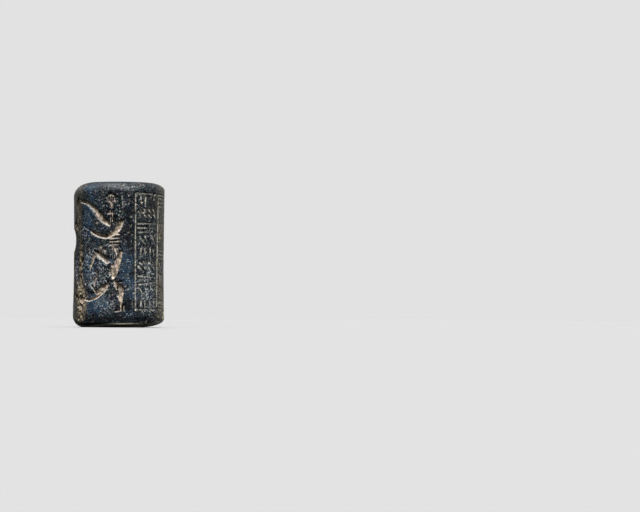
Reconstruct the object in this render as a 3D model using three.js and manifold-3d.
// A cylinder seal of dark blue stone, standing on its lower end: a drilled cylinder with a contest scene
// engraved in its side, so that the figures stand up in relief on clay when the seal is rolled over it.
// Millimetres, +Z up along the bore, origin at the middle of the lower end. The first hero and the
// panel of two columns face -Y.
import * as THREE from "three";
import { mergeVertices } from "three/addons/utils/BufferGeometryUtils.js";
import Module from "manifold-3d";

const wasm = await Module();
wasm.setup();

// The stone
const sealHeight = 28.4;
const lowerDiameter = 18.05;
const upperDiameter = 17.9;
const waistHollow = 0.15; // how far the side draws in at half height
const lowerWearRun = 2.3; // the worn lower edge, measured across the end
const lowerWearRise = 1.4; // and up the side
const upperWearRun = 3.35;
const upperWearRise = 1.95;
const boreDiameter = 3.0;
const boreMouthDiameter = 4.2;
const boreMouthDepth = 5.5; // how far in the worn mouth narrows to the bore

// The engraved band
const lowerBand = 3.5; // plain stone below the frieze
const upperBand = 2.1; // plain stone above it
const limbDepth = 0.5;
const bodyDepth = 0.62;
const haunchDepth = 0.42;
const headDepth = 0.36;
const lineDepth = 0.22;
const strokeDepth = 0.18;
const pitDepth = 0.3;

// Proportions of the frieze, in frieze heights
const sceneRun = 2.43; // the whole scene, once round the seal
const mirrorLine = 0.3975; // the two pairs face each other across the panel
const lineWidth = 0.016;
const panelLeft = 0.145;
const panelDivide = 0.392;
const panelRight = 0.636;
const rowsInPanel = 9;

// How finely the stone is faceted
const sideColumns = 44;
const sideRows = 4;
const edgeSteps = 4;
const boreColumns = 20;
const cutterRise = 0.14; // how far each cutter stands out of the stone
const widestStep = 0.09; // the longest way round the seal that a cut goes straight, in frieze heights

const friezeHeight = sealHeight - lowerBand - upperBand;

// The side's radius at height z: a straight taper less a shallow hollow, deepest half way up.
function sideRadius(z) {
  const share = z / sealHeight;
  const straight = THREE.MathUtils.lerp(lowerDiameter, upperDiameter, share) / 2;
  return straight - waistHollow * Math.sin(Math.PI * share);
}

// The point x, y of the frieze, in frieze heights from the front's ground line, sunk by depth.
function onStone(x, y, depth) {
  const turn = (2 * Math.PI * x) / sceneRun;
  const z = lowerBand + y * friezeHeight;
  const radius = sideRadius(z) - depth;
  return [radius * Math.sin(turn), -radius * Math.cos(turn), z];
}

// A closed three.js geometry as a solid that can be cut and joined.
function solidOf(geometry) {
  geometry.deleteAttribute("normal");
  geometry.deleteAttribute("uv");
  const merged = mergeVertices(geometry, 1e-4);
  return new wasm.Manifold(
    new wasm.Mesh({
      numProp: 3,
      vertProperties: merged.getAttribute("position").array,
      triVerts: new Uint32Array(merged.index.array),
    }),
  );
}

// A solid turned from a profile of radius and height that starts and ends on the axis.
function turned(profile, columns) {
  const points = profile.map(([radius, height]) => new THREE.Vector2(radius, height));
  const lathe = new THREE.LatheGeometry(points, columns);
  lathe.rotateX(Math.PI / 2);
  return solidOf(lathe);
}

// Points of a quarter ellipse round a centre, from one angle to another in quarter turns.
function wornEdge(radius, height, run, rise, from, to) {
  return Array.from({ length: edgeSteps + 1 }, (_, i) => {
    const angle = (Math.PI / 2) * THREE.MathUtils.lerp(from, to, i / edgeSteps);
    return [radius + run * Math.cos(angle), height + rise * Math.sin(angle)];
  });
}

// The blank: flat ends, worn edges and slightly hollow sides.
function blank() {
  const sideStart = lowerWearRise;
  const sideEnd = sealHeight - upperWearRise;
  const lowerReach = sideRadius(sideStart) - lowerWearRun;
  const upperReach = sideRadius(sideEnd) - upperWearRun;
  const side = Array.from({ length: sideRows - 1 }, (_, i) => {
    const height = THREE.MathUtils.lerp(sideStart, sideEnd, (i + 1) / sideRows);
    return [sideRadius(height), height];
  });
  const profile = [
    [0, 0],
    ...wornEdge(lowerReach, sideStart, lowerWearRun, lowerWearRise, -1, 0),
    ...side,
    ...wornEdge(upperReach, sideEnd, upperWearRun, upperWearRise, 0, 1),
    [0, sealHeight],
  ];
  return turned(profile, sideColumns);
}

// The drill's path: a straight bore with a mouth at each end that the string has worn wider.
function bore() {
  const inner = boreDiameter / 2;
  const mouth = boreMouthDiameter / 2;
  const half = [
    [0, -1],
    [mouth, -1],
    [mouth, 0],
    [THREE.MathUtils.lerp(inner, mouth, 0.35), boreMouthDepth * 0.4],
    [inner, boreMouthDepth],
  ];
  const farHalf = half.map(([radius, height]) => [radius, sealHeight - height]);
  return turned([...half, ...farHalf.reverse()], boreColumns);
}

// Cross-sections of the engraver's tools, across in half widths and down in shares of the depth.
const roundTool = [
  [-0.72, 0.66],
  [0, 1],
  [0.72, 0.66],
];
const flatTool = [
  [-0.45, 0.92],
  [0.45, 0.92],
];
const pointedTool = [[0, 1]];

// A broad cut of the round tool along joints, each [x, y, width] in frieze heights.
function broad(joints, depth, steps = 1) {
  return { joints, depth, tool: roundTool, steps };
}

// A limb, cut with the narrow flat-ended tool.
function limb(joints, depth) {
  return { joints, depth, tool: flatTool, steps: 1 };
}

// A thin line of even width, scored with the pointed tool.
function line(from, to, width = lineWidth, depth = lineDepth) {
  return { joints: [[...from, width], [...to, width]], depth, tool: pointedTool, steps: 1 };
}

// A wedge stroke, broad and deep at its head and running out to a point.
function wedge(head, tail, width) {
  const joints = [[...head, width], [...tail, width * 0.3]];
  return { joints, depth: strokeDepth, tool: pointedTool, steps: 1 };
}

// A round hollow between two points.
function hollow(from, to, width, depth) {
  const middle = [(from[0] + to[0]) / 2, (from[1] + to[1]) / 2];
  return broad([[...from, width * 0.7], [...middle, width], [...to, width * 0.7]], depth);
}

// The same cut on the other side of the mirror line.
function mirrored(shape) {
  const joints = shape.joints.map(([x, y, width]) => [2 * mirrorLine - x, y, width]);
  return { ...shape, joints };
}

// A bearded hero seen from the front, walking to the left with one arm raised.
function hero() {
  const face = headDepth;
  const hair = headDepth * 0.8;
  const chest = limbDepth * 0.7;
  const thin = limbDepth * 0.7;
  const belt = [0.66, 0.625, 0.592, 0.56].map((height) => line([-0.085, height], [0, height + 0.006]));
  const beltEnds = [-0.08, -0.045].map((side) => line([side, 0.545], [side + 0.004, 0.41 - side / 3]));
  return [
    // The head with its cap of hair, two side curls and a long squared beard
    hollow([-0.068, 0.95], [-0.068, 0.875], 0.07, face),
    limb([[-0.108, 0.93, 0.02], [-0.068, 0.98, 0.024], [-0.028, 0.93, 0.02]], hair),
    limb([[-0.118, 0.95, 0.026], [-0.15, 0.88, 0.022]], hair),
    limb([[-0.018, 0.95, 0.026], [0.014, 0.88, 0.022]], hair),
    limb([[-0.068, 0.84, 0.066], [-0.066, 0.745, 0.036]], face),
    // The chest, drawn in to the waist, with the belt below it
    broad([[-0.05, 0.765, 0.115], [-0.05, 0.7, 0.09], [-0.05, 0.64, 0.06]], chest),
    ...belt,
    ...beltEnds,
    // The near arm, down to the elbow and out to the hand
    limb([[0.03, 0.752, 0.04], [-0.01, 0.69, 0.054], [-0.084, 0.622, 0.038]], limbDepth),
    limb([[-0.09, 0.618, 0.034], [-0.2, 0.636, 0.034], [-0.34, 0.705, 0.022]], thin),
    // The raised arm, out to the hand
    limb([[-0.088, 0.722, 0.038], [-0.186, 0.806, 0.056], [-0.282, 0.902, 0.036]], limbDepth),
    limb([[-0.285, 0.904, 0.034], [-0.345, 0.922, 0.028], [-0.4, 0.933, 0.024]], thin),
    // The standing leg: thigh, calf and foot
    limb([[0.02, 0.49, 0.04], [-0.006, 0.39, 0.064], [-0.045, 0.275, 0.038]], limbDepth),
    limb([[-0.02, 0.225, 0.034], [0.012, 0.15, 0.07], [0.018, 0.055, 0.022]], limbDepth),
    limb([[0.05, 0.014, 0.03], [-0.01, -0.006, 0.022]], lineDepth),
    // The raised leg, its foot set on the beast's neck
    limb([[-0.062, 0.42, 0.066], [-0.13, 0.432, 0.062], [-0.21, 0.49, 0.038]], limbDepth),
    limb([[-0.22, 0.47, 0.036], [-0.246, 0.405, 0.042], [-0.268, 0.345, 0.022]], thin),
    limb([[-0.252, 0.332, 0.024], [-0.312, 0.334, 0.018]], lineDepth),
  ];
}

// The locks of a mane, as short cuts that leave the outside of the neck one after another.
function mane() {
  const lockCount = 7;
  return Array.from({ length: lockCount }, (_, i) => {
    const along = i / (lockCount - 1);
    const x = THREE.MathUtils.lerp(-0.55, -0.375, along);
    const y = THREE.MathUtils.lerp(0.39, 0.09, along ** 0.8);
    return line([x + 0.04, y + 0.03], [x - 0.006, y - 0.006], lineWidth * 1.3);
  });
}

// A long-maned beast held up by its hind leg, its back bowed outward and its head hanging below.
function beast() {
  const neckDepth = bodyDepth * 0.8;
  const thin = limbDepth * 0.7;
  return [
    // The body from the haunch down to the neck, and the head at the end of it
    broad([[-0.5, 0.6, 0.15], [-0.485, 0.5, 0.165], [-0.46, 0.37, 0.135], [-0.42, 0.25, 0.12]], bodyDepth),
    broad([[-0.42, 0.25, 0.12], [-0.35, 0.165, 0.11], [-0.23, 0.122, 0.08], [-0.12, 0.195, 0.035]], neckDepth),
    // The thigh and hind leg stretched out behind, with its paw
    broad([[-0.5, 0.6, 0.15], [-0.56, 0.6, 0.18], [-0.61, 0.6, 0.19], [-0.67, 0.61, 0.13]], haunchDepth),
    limb([[-0.66, 0.645, 0.045], [-0.69, 0.65, 0.036], [-0.72, 0.648, 0.05]], limbDepth),
    // The hind leg that the hero holds up, and the tail beside it
    limb([[-0.485, 0.67, 0.1], [-0.455, 0.75, 0.07], [-0.44, 0.83, 0.036]], limbDepth),
    limb([[-0.44, 0.84, 0.034], [-0.455, 0.9, 0.03], [-0.435, 0.95, 0.024]], thin),
    limb([[-0.515, 0.7, 0.026], [-0.54, 0.8, 0.022], [-0.53, 0.88, 0.02], [-0.57, 0.95, 0.018]], lineDepth),
    // The forelegs, one bent under the neck and one reaching for the hero's leg
    limb([[-0.44, 0.1, 0.034], [-0.41, 0.055, 0.03], [-0.37, 0.02, 0.026]], thin),
    limb([[-0.192, 0.335, 0.02], [-0.2, 0.28, 0.026], [-0.217, 0.215, 0.022]], thin),
    // The lower jaw and the ear
    limb([[-0.3, 0.08, 0.022], [-0.2, 0.1, 0.028], [-0.095, 0.21, 0.022]], limbDepth),
    limb([[-0.25, 0.205, 0.02], [-0.215, 0.165, 0.028]], limbDepth),
    ...mane(),
  ];
}

// The worn figure between the two beasts, with a forked sprig at its side.
function wornFigure() {
  const sprigDepth = limbDepth * 0.8;
  return [
    hollow([-1.045, 0.87], [-1.045, 0.82], 0.07, headDepth * 0.5),
    broad([[-1.04, 0.77, 0.11], [-1.03, 0.7, 0.1], [-1.03, 0.6, 0.08]], limbDepth * 0.7),
    limb([[-1.0, 0.66, 0.05], [-0.93, 0.62, 0.045], [-0.85, 0.575, 0.028]], limbDepth * 0.8),
    limb([[-1.1, 0.76, 0.035], [-1.2, 0.85, 0.03], [-1.245, 0.93, 0.02]], lineDepth),
    limb([[-0.99, 0.8, 0.022], [-0.93, 0.87, 0.02], [-0.86, 0.96, 0.018]], lineDepth),
    limb([[-1.03, 0.56, 0.08], [-1.0, 0.4, 0.07], [-1.01, 0.22, 0.04]], lineDepth),
    limb([[-0.72, 0.125, 0.026], [-0.65, 0.11, 0.03], [-0.6, 0.06, 0.03], [-0.565, 0, 0.02]], sprigDepth),
    limb([[-0.53, 0.17, 0.024], [-0.528, 0.08, 0.028], [-0.545, 0.005, 0.022]], sprigDepth),
  ];
}

// The ruled frame of the panel. Its right border and the end of its ground line are worn away.
function panelFrame() {
  return [
    line([panelLeft, 0], [panelLeft, 1]),
    line([panelDivide, 0.04], [panelDivide, 1]),
    line([panelRight, 0.05], [panelRight, 0.57]),
    line([panelLeft, 1], [panelRight - 0.06, 1]),
    line([panelLeft, 0], [panelDivide - 0.05, 0]),
  ];
}

// One row of plain strokes, filling a place from the left at a height: upright, slanting or level.
function strokeRow(kind, left, width, top, height) {
  if (kind === "level") {
    const middle = top - height / 2;
    return [wedge([left, middle], [left + width, middle], 0.03)];
  }
  const [count, lean] = kind === "upright" ? [3, 0] : [2, 0.045];
  return Array.from({ length: count }, (_, i) => {
    const x = left + (width * (i + 0.5)) / count;
    return wedge([x - lean / 2, top], [x + lean / 2, top - height], 0.03);
  });
}

// Rows of strokes that fill one column of the panel. The three kinds take turns.
function strokeColumn(left, right, firstKind) {
  const kinds = ["upright", "slanting", "level"];
  const margin = 0.035;
  const pitch = 1 / rowsInPanel;
  return Array.from({ length: rowsInPanel }, (_, row) => {
    const kind = kinds[(row + firstKind) % kinds.length];
    const top = 1 - (row + 0.2) * pitch;
    return strokeRow(kind, left + margin, right - left - 2 * margin, top, pitch * 0.62);
  }).flat();
}

// One ring of a cutter at a point of its path. The sides run on up past the stone's surface.
function ring(point, tangent, halfWidth, depth, tool) {
  const [across, down] = tool[tool.length - 1];
  const lip = 1 + ((1 - across) * cutterRise) / (down * depth);
  const outline = [
    [-lip, -cutterRise],
    ...tool.map(([side, share]) => [side, share * depth]),
    [lip, -cutterRise],
    [0, -cutterRise],
  ];
  return outline.map(([side, sunk]) =>
    onStone(
      point.x - tangent.y * side * halfWidth,
      point.y + tangent.x * side * halfWidth,
      sunk,
    ),
  );
}

// A closed skin over rings of equal size, one after another.
function skinned(rings) {
  const size = rings[0].length;
  const faces = [];
  for (let i = 0; i + 1 < rings.length; i++) {
    for (let j = 0; j < size; j++) {
      const a = i * size + j;
      const b = i * size + ((j + 1) % size);
      faces.push(a, b, b + size, a, b + size, a + size);
    }
  }
  const last = (rings.length - 1) * size;
  for (let j = 1; j + 1 < size; j++) {
    faces.push(0, j + 1, j);
    faces.push(last, last + j, last + j + 1);
  }
  const geometry = new THREE.BufferGeometry();
  const positions = new Float32Array(rings.flat(2));
  geometry.setAttribute("position", new THREE.BufferAttribute(positions, 3));
  geometry.setIndex(faces);
  return solidOf(geometry);
}

// Points, directions and half widths along a smooth path through a shape's joints.
function stations({ joints, steps }) {
  const path = new THREE.CatmullRomCurve3(
    joints.map(([x, y, width]) => new THREE.Vector3(x, y, width)),
    false,
    "centripetal",
  );
  const wayRound = joints.slice(1).reduce((sum, [x], i) => sum + Math.abs(x - joints[i][0]), 0);
  const spans = Math.max((joints.length - 1) * steps, Math.ceil(wayRound / widestStep));
  const points = path.getPoints(spans);
  return points.map((point, i) => {
    const before = points[Math.max(i - 1, 0)];
    const after = points[Math.min(i + 1, spans)];
    const tangent = new THREE.Vector2(after.x - before.x, after.y - before.y).normalize();
    return { point, tangent, halfWidth: point.z / 2 };
  });
}

// The cutter of a round or flat tool: of even depth, and rising to a smaller end past each end joint.
function roundedCutter(shape) {
  const along = stations(shape);
  const rings = along.map((s) => ring(s.point, s.tangent, s.halfWidth, shape.depth, shape.tool));
  const endRing = ({ point, tangent, halfWidth }, way) => {
    const reach = way * halfWidth * 0.75;
    const end = { x: point.x + reach * tangent.x, y: point.y + reach * tangent.y };
    return ring(end, tangent, halfWidth * 0.5, shape.depth * 0.4, shape.tool);
  };
  return skinned([endRing(along[0], -1), ...rings, endRing(along[along.length - 1], 1)]);
}

// The cutter of the pointed tool: the wider the score, the deeper.
function pointedCutter(shape) {
  const widest = Math.max(...shape.joints.map(([, , width]) => width));
  return skinned(
    stations(shape).map(({ point, tangent, halfWidth }) =>
      ring(point, tangent, halfWidth, (shape.depth * 2 * halfWidth) / widest, shape.tool),
    ),
  );
}

function cutter(shape) {
  return shape.tool === pointedTool ? pointedCutter(shape) : roundedCutter(shape);
}

// A pit: a shallow five-sided cup with its floor sunk in the stone.
function pit(x, y, width, depth) {
  const corners = 5;
  const cup = (spread, sunk) =>
    Array.from({ length: corners }, (_, i) => {
      const angle = (-2 * Math.PI * i) / corners;
      const reach = (spread * width * (1 + 0.25 * Math.sin(3 * angle + 40 * x))) / 2;
      return onStone(x + reach * Math.cos(angle), y + reach * Math.sin(angle), sunk);
    });
  return skinned([cup(1.2, -cutterRise), cup(0.5, depth)]);
}

// Pits where the stone has decayed, spread over oval patches by the golden angle.
function decay() {
  const patches = [
    { x: -1.0, y: 0.22, reach: [0.24, 0.2], count: 10, width: 0.06 },
    { x: 1.22, y: 0.3, reach: [0.17, 0.24], count: 9, width: 0.055 },
    { x: -0.62, y: 0.24, reach: [0.08, 0.12], count: 3, width: 0.045 },
    { x: 0.55, y: 0.0, reach: [0.1, 0.06], count: 3, width: 0.05 },
  ];
  const goldenAngle = Math.PI * (3 - Math.sqrt(5));
  return patches.flatMap(({ x, y, reach, count, width }) =>
    Array.from({ length: count }, (_, i) => {
      const out = Math.sqrt((i + 0.5) / count);
      const angle = i * goldenAngle;
      const size = width * (0.7 + 0.5 * ((i * 0.618) % 1));
      const depth = pitDepth * (0.6 + 0.5 * ((i * 0.414) % 1));
      return pit(x + reach[0] * out * Math.cos(angle), y + reach[1] * out * Math.sin(angle), size, depth);
    }),
  );
}

// All the cuts are taken out of the blank, then it is drilled.
function engravedSeal() {
  const contest = [...hero(), ...beast()];
  const shapes = [
    ...contest,
    ...contest.map(mirrored),
    ...wornFigure(),
    ...panelFrame(),
    ...strokeColumn(panelLeft, panelDivide, 0),
    ...strokeColumn(panelDivide, panelRight, 1),
  ];
  const cutters = [...shapes.map(cutter), ...decay(), bore()];
  const stone = cutters.reduce((left, tool) => left.subtract(tool), blank());
  const { vertProperties, triVerts } = stone.getMesh();
  const geometry = new THREE.BufferGeometry();
  geometry.setAttribute("position", new THREE.BufferAttribute(vertProperties, 3));
  geometry.setIndex(new THREE.BufferAttribute(triVerts, 1));
  geometry.computeVertexNormals();
  return geometry;
}

const lapis = new THREE.MeshStandardMaterial({
  name: "lapis",
  color: new THREE.Color(0x2b3440),
  roughness: 0.5,
  metalness: 0,
});

const seal = new THREE.Mesh(engravedSeal(), lapis);
seal.name = "seal";

const cylinderSeal = new THREE.Group();
cylinderSeal.name = "cylinder_seal";
cylinderSeal.add(seal);

export default cylinderSeal;
